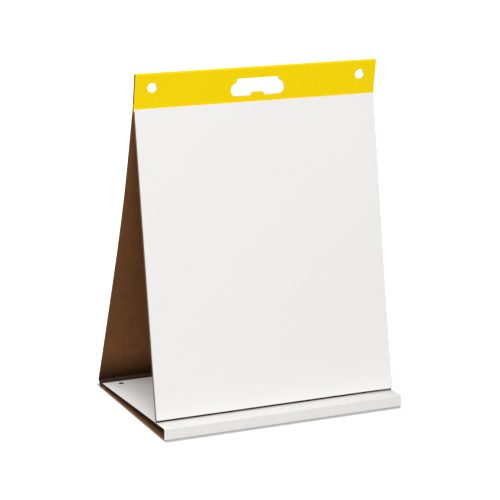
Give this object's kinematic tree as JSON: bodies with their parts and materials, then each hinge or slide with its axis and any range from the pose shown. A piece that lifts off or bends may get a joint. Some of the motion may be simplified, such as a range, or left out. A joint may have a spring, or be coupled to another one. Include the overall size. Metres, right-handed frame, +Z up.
{
  "type": "tabletop easel pad",
  "caption": "Pad of large paper sheets on a tabletop stand of folded corrugated board, with a card header, hang holes and a die-cut hand grip.",
  "frame": {"origin": "middle of the footprint, on the table", "axes": "+X to the reader's right, +Y away from the reader, +Z up"},
  "size_m": [0.5096, 0.3457, 0.6741],
  "materials": {
    "kraft_corrugated": "matt brown corrugated board with a white printed liner on its outer face",
    "yellow_card": "satin coated yellow card",
    "pad_paper": "matt white paper",
    "glue": "set glue, matt"
  },
  "bodies": {
    "base": {"floor_panel": "kraft_corrugated"},
    "lip": {"lip_panel": "kraft_corrugated"},
    "shelf": {"shelf_panel": "kraft_corrugated"},
    "spine": {"spine_panel": "kraft_corrugated"},
    "rear_leg": {"rear_panel": "kraft_corrugated"},
    "header": {"header_back": "kraft_corrugated", "header_glue": "glue", "header_board": "kraft_corrugated", "header_strip": "yellow_card"},
    "front_leg": {"front_board": "kraft_corrugated", "sheet_20": "pad_paper", "sheet_19": "pad_paper", "sheet_18": "pad_paper", "sheet_17": "pad_paper", "sheet_16": "pad_paper", "sheet_15": "pad_paper", "sheet_14": "pad_paper", "sheet_13": "pad_paper", "sheet_12": "pad_paper", "sheet_11": "pad_paper", "sheet_10": "pad_paper", "sheet_09": "pad_paper", "sheet_08": "pad_paper", "sheet_07": "pad_paper", "sheet_06": "pad_paper", "sheet_05": "pad_paper", "sheet_04": "pad_paper", "sheet_03": "pad_paper", "sheet_02": "pad_paper", "top_sheet_band": "pad_paper"},
    "top_sheet": {"sheet_01": "pad_paper"}
  },
  "joints": [
    {"name": "spine_fold", "type": "hinge", "parent": "base", "child": "spine", "pos_m": [0, 0.16203, 0], "axis": [-1, 0, 0], "range_deg": [0, 50.5]},
    {"name": "rear_fold", "type": "hinge", "parent": "spine", "child": "rear_leg", "pos_m": [0, 0.17297, 0.01327], "axis": [-1, 0, 0], "range_deg": [0, 12]},
    {"name": "header_fold", "type": "hinge", "parent": "rear_leg", "child": "header", "pos_m": [0, -0.00932, 0.6061], "axis": [1, 0, 0], "range_deg": [0, 23]},
    {"name": "pad_lift", "type": "hinge", "parent": "header", "child": "front_leg", "pos_m": [0, -0.01548, 0.6054], "axis": [-1, 0, 0], "range_deg": [0, 66]},
    {"name": "sheet_lift", "type": "hinge", "parent": "front_leg", "child": "top_sheet", "pos_m": [0, -0.02369, 0.57706], "axis": [-1, 0, 0], "range_deg": [0, 84]},
    {"name": "lip_fold", "type": "hinge", "parent": "base", "child": "lip", "pos_m": [0, -0.17297, 0], "axis": [1, 0, 0], "range_deg": [0, 90]},
    {"name": "shelf_fold", "type": "hinge", "parent": "lip", "child": "shelf", "pos_m": [0, -0.17297, 0.023], "axis": [1, 0, 0], "range_deg": [0, 92.04]}
  ],
  "couplings": [
    {"joint": "lip_fold", "follows": "pad_lift", "ratio": 1.3636},
    {"joint": "shelf_fold", "follows": "pad_lift", "ratio": 1.3945},
    {"joint": "rear_fold", "follows": "header_fold", "ratio": 0.5}
  ]
}
